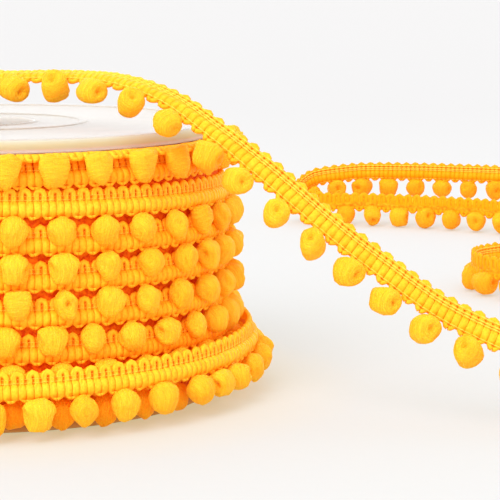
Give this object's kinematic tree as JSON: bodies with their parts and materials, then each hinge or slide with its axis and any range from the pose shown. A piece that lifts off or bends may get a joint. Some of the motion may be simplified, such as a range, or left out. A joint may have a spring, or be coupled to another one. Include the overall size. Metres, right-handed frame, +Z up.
{
  "type": "pompom fringe trim on a reel",
  "caption": "Pompom fringe trim: a looped scalloped braid hung with yarn bobbles, wound in rows on a clear flanged reel, its loose end falling over the rim and curling round on the surface.",
  "frame": {"origin": "centre of the bounding box at the surface that the reel stands on", "axes": "+Z up along the reel's axis; +Y from the reel, past its right side, to the far loop of the loose end; +X to the right of the side on which the wound rows show best"},
  "size_m": [0.2303, 0.3157, 0.0639],
  "materials": {
    "clear_plastic": "clear, slightly milky polystyrene, moulded smooth",
    "golden_yarn": "golden yellow filament yarn, soft satin",
    "shaded_yarn": "the same yarn, orange where it lies in shade between the rows"
  },
  "bodies": {
    "root": {"reel_bottom_half": "clear_plastic", "reel_top_half": "clear_plastic", "trim_wound_form": "shaded_yarn", "trim_inner_turns": "golden_yarn", "trim_outer_turn": "golden_yarn", "trim_loose_end": "golden_yarn"}
  },
  "joints": []
}
